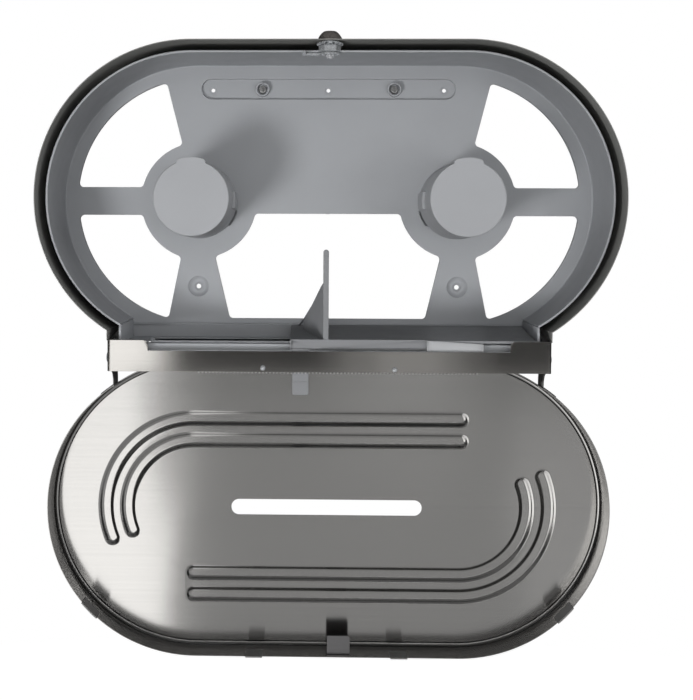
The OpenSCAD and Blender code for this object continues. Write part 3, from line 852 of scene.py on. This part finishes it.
cam.add(plate([[(x, -88 + y) for x, y in cam_out], circle(0, -88, 1.6, 32)], 128.4, 130.4, XY, 0.35, 0.35, 3))
build("lock_cam_plate", cam, M_ZINC, "lock_cylinder", ["lock_cam"], sharp=40)
cs = Mesh()
star = []
for k in range(16):
    a = 2 * PI * k / 16
    r0 = 5.1 if k % 2 == 0 else 3.9
    for d in (-0.09, 0.09):
        star.append((r0 * math.cos(a + d), -88 + r0 * math.sin(a + d)))
cs.add(plate([star], 127.5, 128.38, XY, 0.15, 0.15, 2))
cross = []
for k in range(4):
    a = k * 90
    for u, v in ((2.2, -0.42), (2.2, 0.42), (0.5, 0.5)):
        c, s_ = math.cos(rad(a)), math.sin(rad(a))
        cross.append((u * c - v * s_, -88 + u * s_ + v * c))
cs.add(plate([circle(0, -88, 3.2, 48), cross], 125.4, 127.6, XY, 0.6, 0.0, 4))
cs.add(lathe([(0.0, 127.0), (3.0, 127.0), (3.0, 127.55), (1.5, 127.55), (1.5, 134.8), (0, 134.9)], (0, -88, 0), "z", 40))
build("cam_screw_star", cs, M_STAR, "lock_cylinder", ["cam_screw"], sharp=40)

# ------------------------------------------------------------------ boss screws
bs = Mesh()
for x in (-63.2, 63.2):
    cross = []
    for k in range(4):
        a = k * 90 + 20
        for u, v in ((2.3, -0.42), (2.3, 0.42), (0.55, 0.55)):
            c, s_ = math.cos(rad(a)), math.sin(rad(a))
            cross.append((x + u * c - v * s_, 107.4 + u * s_ + v * c))
    # crowned head with a cross recess
    lp = ccw(circle(x, 107.4, 2.75, 48))
    m = Mesh()
    o = m.ring([(u, -5.0, v) for u, v in lp])
    c1 = cw(clean(cross))
    i_ = m.ring([(u, -5.0, v) for u, v in c1])
    m.tris(o + i_, fill([lp, c1]))
    i2 = m.ring([(u, -3.4, v) for u, v in inset(c1, -0.12)])
    m.bridge(i_, i2)
    m.f.append(tuple(i2))
    bs.add(m)
    bs.add(lathe([(2.75, -5.0), (3.2, -4.85), (3.6, -4.5), (3.9, -3.9), (4.0, -3.2), (4.0, -2.53), (2.0, -2.53), (2.0, -0.05), (0, -0.05)], (x, 0, 107.4), "y", 48))
build("boss_screw_heads", bs, M_SCREW, "cabinet", ["boss_screws"], sharp=40)

# ------------------------------------------------------------------ cover pan
def rib_depth(s, half=9.0, depth=2.2):
    s = abs(s)
    return 0.0 if s >= half else depth * 0.5 * (1 + math.cos(PI * max(0.0, s - 2.6) / (half - 2.6)))


RIB_HALF = 8.0
RIB_CX, RIB_END, RIB_SWEEP = 127.0, 128.5, 111.5


def rib_path(R):
    """stations (x, z, nx, nz) along one rib, from the left arc's end to the right end; n points away from the centre"""
    st = []
    n = 44
    for i in range(n + 1):
        t = rad(90 + RIB_SWEEP * (1 - i / n))
        st.append((-RIB_CX + R * math.cos(t), SLOT_Z + R * math.sin(t), math.cos(t), math.sin(t)))
    for i in range(1, 13):
        st.append((-RIB_CX + (RIB_CX + RIB_END) * i / 12, SLOT_Z + R, 0.0, 1.0))
    return st


def rib_loops(R, flip):
    """boundary of a rib and its surface mesh for a base level y"""
    st = rib_path(R)
    NS = 14
    ss = [RIB_HALF * (k / NS) for k in range(-NS, NS + 1)]

    def pt(x, z):
        return (-x, 2 * SLOT_Z - z) if flip else (x, z)

    bound = []
    right = [pt(x + nx * RIB_HALF, z + nz * RIB_HALF) for x, z, nx, nz in st]
    left = [pt(x - nx * RIB_HALF, z - nz * RIB_HALF) for x, z, nx, nz in st]
    NE = 16
    x, z, nx, nz = st[-1]
    tx, tz = nz, -nx
    end1 = [pt(x + RIB_HALF * (nx * math.cos(q) + tx * math.sin(q)), z + RIB_HALF * (nz * math.cos(q) + tz * math.sin(q))) for q in [PI * k / NE for k in range(1, NE)]]
    x0, z0, nx0, nz0 = st[0]
    tx0, tz0 = -nz0, nx0
    end0 = [pt(x0 + RIB_HALF * (-nx0 * math.cos(q) + tx0 * math.sin(q)), z0 + RIB_HALF * (-nz0 * math.cos(q) + tz0 * math.sin(q))) for q in [PI * k / NE for k in range(1, NE)]]
    bound = right + end1 + left[::-1] + end0

    def surface(y0, depth=2.2):
        m = Mesh()
        rows = []
        for x_, z_, nx_, nz_ in st:
            row = []
            for s in ss:
                px, pz = pt(x_ + nx_ * s, z_ + nz_ * s)
                row.append((px, y0 + rib_depth(s, RIB_HALF, depth), pz))
            rows.append(m.ring(row))
        for a, b in zip(rows, rows[1:]):
            m.bridge(a, b, closed=False)
        for (ex, ez, enx, enz, etx, etz) in ((x, z, nx, nz, tx, tz), (x0, z0, -nx0, -nz0, tx0, tz0)):
            rr = []
            for k in range(0, NS + 1):
                s = RIB_HALF * k / NS
                rr.append(m.ring([(*(lambda p: (p[0], y0 + rib_depth(s, RIB_HALF, depth), p[1]))(pt(ex + s * (enx * math.cos(q) + etx * math.sin(q)), ez + s * (enz * math.cos(q) + etz * math.sin(q)))),) for q in [PI * j / NE for j in range(NE + 1)]]))
            for a, b in zip(rr, rr[1:]):
                m.bridge(a, b, closed=False)
        return m

    return bound, surface


pan = Mesh()
FR = 137.2
sl = round_poly([(-91.5, SLOT_Z - 7.5), (91.5, SLOT_Z - 7.5), (91.5, SLOT_Z + 7.5), (-91.5, SLOT_Z + 7.5)], 7.45, 14)
ribs = [rib_loops(R, f) for R in (64.7, 85.6) for f in (False, True)]
face_out = stadium(FR, 0, CZ, 96)
slot_l = cw(clean(sl))
for y0 in (-19.8, -19.0):
    m = Mesh()
    lps = [ccw(clean(face_out))] + [cw(clean(b)) for b, _ in ribs]
    sgn = 1 if y0 == -19.8 else -1
    hole = [inset(slot_l, 0.25)]
    idx = []
    for q in lps + hole:
        idx += m.ring([(u, y0, v) for u, v in q])
    m.tris(idx, fill(lps + hole))
    pan.add(m)
    for _, surf in ribs:
        pan.add(surf(y0))
# edge of the sight slot
m = Mesh()
rs = []
for d, w in ((0.25, -19.8), (0.07, -19.73), (0.0, -19.55), (0.0, -19.25), (0.07, -19.07), (0.25, -19.0)):
    rs.append(m.ring([(u, w, v) for u, v in inset(slot_l, d)]))
for a, b in zip(rs, rs[1:]):
    m.bridge(a, b)
pan.add(m)


# rim with its bend, lower behind the tear strip
def cover_stations():
    st = []
    n = 96
    for i in range(n + 1):
        t = rad(-90 + 180 * i / n)
        st.append((HC, math.cos(t), math.sin(t)))
    k = 40
    for i in range(1, k):
        st.append((HC - 2 * HC * i / k, 0.0, 1.0))
    for i in range(n + 1):
        t = rad(90 + 180 * i / n)
        st.append((-HC, math.cos(t), math.sin(t)))
    for i in range(1, k):
        st.append((-HC + 2 * HC * i / k, 0.0, -1.0))
    # stations at the step of the rim
    a = math.degrees(math.acos((200.0 - HC) / 139.3))
    extra = []
    for d in (-0.35, 0.0, 0.35, 0.8, 1.4):
        extra.append((HC, math.cos(rad(a + d)), math.sin(rad(a + d))))
        extra.append((-HC, -math.cos(rad(a + d)), math.sin(rad(a + d))))
    allst = st + extra

    def key(s):
        bx, nx, nz = s
        t = math.atan2(nz, nx)
        if t < -PI / 2 - 1e-9:
            t += 2 * PI
        # order: right arc, top, left arc, bottom
        if abs(nx) < 1e-9 and nz > 0:
            return (1, -bx)
        if abs(nx) < 1e-9 and nz < 0:
            return (3, bx)
        if nx > 0:
            return (0, t)
        return (2, t)

    uniq = {}
    for s in allst:
        uniq[(round(s[0], 6), round(s[1], 7), round(s[2], 7))] = s
    return sorted(uniq.values(), key=key)


cst = cover_stations()
a_step = math.degrees(math.acos((200.0 - HC) / 139.3))


def rim_edge(s):
    bx, nx, nz = s
    x = bx + nx * 139.3
    if nz <= 0:
        return -55.4
    if abs(nx) < 1e-9:
        return -33.0
    t = math.degrees(math.atan2(nz, abs(nx)))
    d = t - a_step
    if d <= 0.0:
        return -55.4
    if d >= 1.4:
        return -33.0
    return -55.4 + (22.4) * (d / 1.4) ** 0.6


rings = []
for s in cst:
    bx, nx, nz = s
    e = rim_edge(s)
    prof = [(134.4, -19.0)]
    for k in range(0, 7):
        t = k / 6 * PI / 2
        prof.append((135.6 + 3.7 * math.sin(t), -22.7 + 3.7 * math.cos(t)))
    prof += [(139.3, e + 0.3), (139.2, e + 0.06), (138.9, e), (138.6, e + 0.06), (138.5, e + 0.3)]
    for k in range(6, -1, -1):
        t = k / 6 * PI / 2
        prof.append((135.6 + 2.9 * math.sin(t), -22.7 + 2.9 * math.cos(t)))
    prof.append((134.4, -19.8))
    rings.append([(bx + nx * u, y, CZ + nz * u) for u, y in prof])
rimm = Mesh()
rr = [rimm.ring(r) for r in rings]
for a, b in zip(rr, rr[1:] + rr[:1]):
    for i in range(len(a) - 1):
        rimm.f.append((a[i], a[i + 1], b[i + 1], b[i]))
pan.add(rimm)
build("cover_pan", pan, M_FACE, "cover", ["cover_face", "cover_rim"], sharp=40, weighted=True)

# latch plate: bent foot and upright with one rounded corner
lt = Mesh()
zb = CZ - 139.3 + 0.8
up = round_poly([(0.8, zb + 0.6), (22.3, zb + 0.6), (22.3, CZ - 120.8), (0.8, CZ - 120.8)], [0, 0, 3.4, 0.8], 8)
lt.add(plate([up], -48.2, -47.0, XZ, 0.3, 0.3, 3))
lt.add(rbox(0.8, 22.3, -47.6, -36.0, zb + 0.02, zb + 1.0, 0.3))
sec = [(-47.0 - 1.2 * math.sin(rad(t)), zb + 1.4 - 1.38 * math.cos(rad(t))) for t in range(0, 91, 15)] + [(-47.0, zb + 1.4), (-46.5, zb + 1.0)]
lt.add(tube([[(x, y, z) for y, z in sec] for x in (0.9, 22.2)]))
build("latch_plate", lt, M_LATCH, "cover", ["latch_tab"], sharp=35)
cc = Mesh()
for s in (1, -1):
    lp = arc(HC, CZ, 137.6, -48.2, -39.8, 14) + arc(HC, CZ, 138.44, -39.8, -48.2, 14)
    a = plate([lp], -61.4, -40.0, XZ, 0.25, 0.25, 3)
    # rolled tip toward the inside
    tip = arc(HC, CZ, 136.9, -48.0, -40.0, 14) + arc(HC, CZ, 138.3, -40.0, -48.0, 14)
    b = plate([tip], -61.35, -59.9, XZ, 0.5, 0.5, 3)
    a.add(b)
    cc.add(a if s > 0 else mirror_x(a))
build("corner_clip_pair", cc, M_CLIP, "cover", ["corner_clips"], sharp=40)
rc = Mesh()
for s in (1, -1):
    a = rbox(60, 76, -61.4, -40.0, zb + 0.05, zb + 0.88, 0.25)
    a.add(rbox(60.3, 75.7, -61.3, -59.8, zb + 0.1, zb + 1.5, 0.5))
    rc.add(a if s > 0 else mirror_x(a))
build("rim_clip_pair", rc, M_CLIP, "cover", ["rim_clips"], sharp=40)
for s, nm in ((-1, "left"), (1, "right")):
    ear = Mesh()
    pts = [(-26, -167), (-26, -176), (-50, -176), (-51, -168), (-55, -162.5), (-63, -158.5), (-74, -156)]
    boss = arc(HY, HZ, 7.0, 249, 79, 26)
    poly = pts + boss + [(-60, -141.5), (-40, -150), (-28, -161)]
    ear.add(plate([poly, circle(HY, HZ, 2.55, 32)], 201.3, 200.1, YZ, 0.3, 0.3, 3))
    x0 = 200.2
    t0 = math.degrees(math.acos((x0 - HC) / 140.0))
    t1 = math.degrees(math.acos((213.0 - HC) / 140.0))
    foot = arc(HC, CZ, 139.36, t1, t0, 12) + arc(HC, CZ, 140.15, t0, t1, 12)
    ear.add(plate([foot], -50.0, -26.0, XZ, 0.25, 0.25, 3))
    build("ear_%s" % nm, ear if s > 0 else mirror_x(ear), M_RIM, "cover", ["hinge_ear_%s" % nm], sharp=40)

# ------------------------------------------------------------------ shutter
sh = Mesh()
sh.add(plate([round_poly([(-8.5, -119), (-87, -127), (-95.9, -127), (-95.9, -129.2), (-87, -129.2), (-8.5, -121.2)], [0.5, 3, 0.2, 0.2, 3, 0.5], 4)], 187.0, -34.6, YZ, 0.5, 0.5, 3))
sh.add(rbox(-34.4, 186.8, -86.5, -84.0, -130.95, -128.3, 0.4))
sh.add(rbox(-34.4, 186.8, -11.0, -8.6, -130.95, -120.8, 0.4))
sh.add(plate([round_poly([(-34.6, -135.7), (-13, -135.7), (-12.5, -134.8), (88, -134.8), (88, -126.2), (-34.6, -126.2)], [0.6, 0.3, 0.3, 0.3, 1.2, 1.2], 4)], -97.9, -95.9, XZ, 0.5, 0.3, 3))
build("sled_moulding", sh, M_LIGHT, "shutter", ["shutter_sled"], sharp=40)
lf = plate([round_poly([(88.2, -136.6), (138.2, -139.5), (138.9, -129.8), (88.2, -126.8)], [0.3, 1.0, 1.0, 0.3], 4)], -97.9, -95.92, XZ, 0.5, 0.3, 3)
build("leaf_moulding", lf, plastic("plastic_leaf", (0.42, 0.428, 0.44)), "shutter", ["shutter_leaf"], sharp=40)
fin = Mesh()
fin.add(plate([round_poly([(-5, -128.5), (0, -128.5), (0, -45.7), (-5, -45.7)], [0, 0, 2.4, 2.4], 8)], -97.0, -93.6, XZ, 0.6, 0.6, 3))
ca, sa = math.cos(rad(106.4)), math.sin(rad(106.4))
web_pts = [(0, -74), (10, -78.5), (39, -97), (66, -111), (88, -120.2), (88, -120.9), (66, -124.2), (39, -126.6), (3, -128.6), (0, -128.6)]
lp = round_poly(web_pts, [1, 12, 30, 20, 1, 0, 0, 0, 0, 0], 6)
wm = plate([lp], -1.1, 1.1, lambda u, v, w: (u, w, v), 0.5, 0.5, 3)
fin.add(wm.mapped(lambda p: (-3 + p[0] * ca - p[1] * sa, -94.6 + p[0] * sa + p[1] * ca, p[2])))
build("fin_moulding", fin, M_LIGHT, "shutter", ["shutter_fin"], sharp=40)
tb = Mesh()
tb.add(plate([round_poly([(-32.4, -176.5), (-17.8, -176.5), (-17.8, -134.9), (-32.4, -134.9)], [1.4, 1.4, 0, 0], 5)], -97.9, -95.9, XZ, 0.45, 0.45, 3))
tb.add(rbox(-32.0, -18.2, -98.45, -97.5, -165.6, -164.2, 0.35))
build("tab_moulding", tb, M_LIGHT, "shutter", ["shutter_tab"], sharp=40)

# ------------------------------------------------------------------ CAD nodes that stay
for n, mat in (("tear_blade", M_BLADE), ("hinge_washers", M_NYLON)):
    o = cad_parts[n]
    o.data.materials.clear()
    o.data.materials.append(mat)

# ------------------------------------------------------------------ camera
cam_d = bpy.data.cameras.new("photo_camera")
cam_o = bpy.data.objects.new("photo_camera", cam_d)
bpy.context.scene.collection.objects.link(cam_o)
yaw, pitch, roll = rad(-1.42), rad(2.62), rad(0.22)
fw = Vector((math.sin(yaw) * math.cos(pitch), math.cos(yaw) * math.cos(pitch), -math.sin(pitch)))
rt = Vector((math.cos(yaw), -math.sin(yaw), 0))
upv = rt.cross(fw)
rt2 = rt * math.cos(roll) + upv * math.sin(roll)
up2 = -rt * math.sin(roll) + upv * math.cos(roll)
rot = Matrix((rt2, up2, -fw)).transposed().to_4x4()
cam_o.matrix_world = Matrix.Translation(Vector((-17.57, -1255.21, -37.91)) * K) @ rot
cam_d.sensor_fit = "VERTICAL"
cam_d.sensor_height = 36.0
cam_d.lens = 1292.39 * 36.0 / 700.0
cam_d.shift_x = 69.36 / 700.0
cam_d.shift_y = -50.09 / 700.0
cam_d.clip_start = 0.05
cam_d.clip_end = 30
cam_d.dof.use_dof = False
bpy.context.scene.camera = cam_o


# ------------------------------------------------------------------ stage
def stage_mesh(name, verts, faces, mat):
    me = bpy.data.meshes.new(name)
    me.from_pydata(verts, [], faces)
    me.materials.append(mat)
    o = bpy.data.objects.new(name, me)
    bpy.context.scene.collection.objects.link(o)
    return o


def emit(name, col, strength):
    m = bpy.data.materials.new(name)
    m.use_nodes = True
    nt = m.node_tree
    nt.nodes.clear()
    out = nt.nodes.new("ShaderNodeOutputMaterial")
    e = nt.nodes.new("ShaderNodeEmission")
    e.inputs["Color"].default_value = (*col, 1)
    e.inputs["Strength"].default_value = strength
    nt.links.new(e.outputs[0], out.inputs[0])
    return m


def card(name, x0, x1, z0, z1, y, strength, col=(1, 1, 1)):
    """upright card that faces the object from the camera's side"""
    o = stage_mesh(name, [(x0, y, z0), (x1, y, z0), (x1, y, z1), (x0, y, z1)], [(0, 1, 2, 3)], emit(name, col, strength))
    o.visible_camera = False
    o.visible_diffuse = False
    o.visible_shadow = False
    return o


# pale floor and a pale surround on all sides
flm, nt, b, co = new_mat("studio_floor")
nt.links.new(mix_col(nt, noise(nt, co, 3.0, 2.0, 0.5), (0.86, 0.86, 0.86), (0.9, 0.9, 0.9)), b.inputs["Base Color"])
b.inputs["Roughness"].default_value = 0.9
b.inputs["Specular IOR Level"].default_value = 0.0
b.inputs["Emission Color"].default_value = (1, 1, 1, 1)
b.inputs["Emission Strength"].default_value = 0.97
fz = -2.4
n = 64
ring = [(6.4 * math.cos(2 * PI * i / n), 6.4 * math.sin(2 * PI * i / n), fz) for i in range(n)]
fl = stage_mesh("studio_floor", ring, [tuple(range(n))], flm)
dv, df = [], []
rows = 24
for j in range(rows + 1):
    t = -PI / 2 + PI * j / rows
    for i in range(n):
        q = 2 * PI * i / n
        dv.append((7 * math.cos(t) * math.cos(q), 7 * math.cos(t) * math.sin(q), 7 * math.sin(t)))
for j in range(rows):
    for i in range(n):
        i2 = (i + 1) % n
        df.append((j * n + i, j * n + i2, (j + 1) * n + i2, (j + 1) * n + i))
sr = stage_mesh("studio_surround", dv, df, emit("studio_white", (1, 1, 1), 1.0))
for o in (fl, sr):
    o.visible_diffuse = False
    o.visible_glossy = False
    o.visible_shadow = False
    o.visible_transmission = False

edge = [(-0.60, -0.50), (-0.56, -0.60), (-0.549, -0.751), (-0.506, -0.827), (-0.446, -0.909), (-0.436, -0.972),
        (-0.466, -1.059), (-0.489, -1.126), (-0.486, -1.247), (-0.446, -1.36), (-0.44, -1.9)]
cl = stage_mesh("card_left", [(-3.5, -3.0, -1.9), (-3.5, -3.0, -0.50)] + [(x, -3.0, z) for x, z in edge], [tuple(range(len(edge) + 2))],
                emit("card_left", (1, 0.995, 0.985), 1.4))
cl.visible_camera = False
cl.visible_diffuse = False
cl.visible_shadow = False
card("card_left_low", -4.0, -0.46, -8.0, -1.9, -3.01, 0.9)
for x0, x1, e in ((-1.2, -0.52, 1.3), (-0.52, -0.49, 0.95), (-0.49, -0.46, 0.55), (-0.46, -0.43, 0.2), (0.03, 0.09, 0.1),
                  (0.09, 0.2, 0.2), (0.2, 0.4, 0.3), (0.4, 0.47, 0.2), (0.47, 0.56, 0.1)):
    card("card_strip_%d" % round((x0 + 2) * 100), x0, x1, -0.49, -0.20, -3.0, e)
card("card_low_a", -0.62, 3.0, -0.70, -0.50, -3.02, 0.36)
card("card_low_b", -0.62, 3.0, -0.90, -0.70, -3.02, 0.32)
card("card_low_c", -0.62, 3.0, -1.15, -0.90, -3.02, 0.29)
card("card_low_d", -0.62, 3.0, -1.9, -1.15, -3.02, 0.3)
card("card_low_e", -0.46, 4.0, -8.0, -1.9, -3.02, 0.25)
card("card_right_low", 0.66, 3.0, -1.6, -0.50, -2.98, 0.4)
card("card_band", -1.5, 2.2, -0.12, 0.05, -3.0, 1.4)
card("card_upper", -3.0, 3.0, 0.9, 2.6, -3.0, 0.14)


def area_light(name, loc, target, size, power, size_y=None):
    d = bpy.data.lights.new(name, "AREA")
    d.energy = power
    d.size = size
    if size_y:
        d.shape = "RECTANGLE"
        d.size_y = size_y
    o = bpy.data.objects.new(name, d)
    o.location = loc
    v = Vector(target) - Vector(loc)
    o.rotation_euler = v.to_track_quat("-Z", "Y").to_euler()
    bpy.context.scene.collection.objects.link(o)
    o.visible_glossy = False
    o.visible_camera = False
    return o


area_light("key_soft", (-0.85, -1.32, -0.58), (0, -0.03, 0), 0.38, 14.5)
area_light("top_soft", (0.3, -2.4, 1.3), (0, -0.05, -0.1), 2.0, 10)
area_light("side_soft", (1.5, -1.9, -0.35), (0, -0.05, 0), 0.8, 9)
area_light("right_soft", (2.2, -1.0, 0.6), (0, -0.05, 0.05), 1.6, 15)
area_light("left_soft", (-2.2, -1.0, 0.4), (0, -0.05, 0.05), 1.6, 5)
area_light("front_soft", (-0.1, -3.4, -0.3), (0, -0.05, 0), 3.0, 34)
w = bpy.data.worlds.new("studio")
bpy.context.scene.world = w
w.use_nodes = True
w.node_tree.nodes["Background"].inputs[0].default_value = (1, 1, 1, 1)
w.node_tree.nodes["Background"].inputs[1].default_value = 0.03
bpy.context.scene.view_settings.view_transform = "Standard"
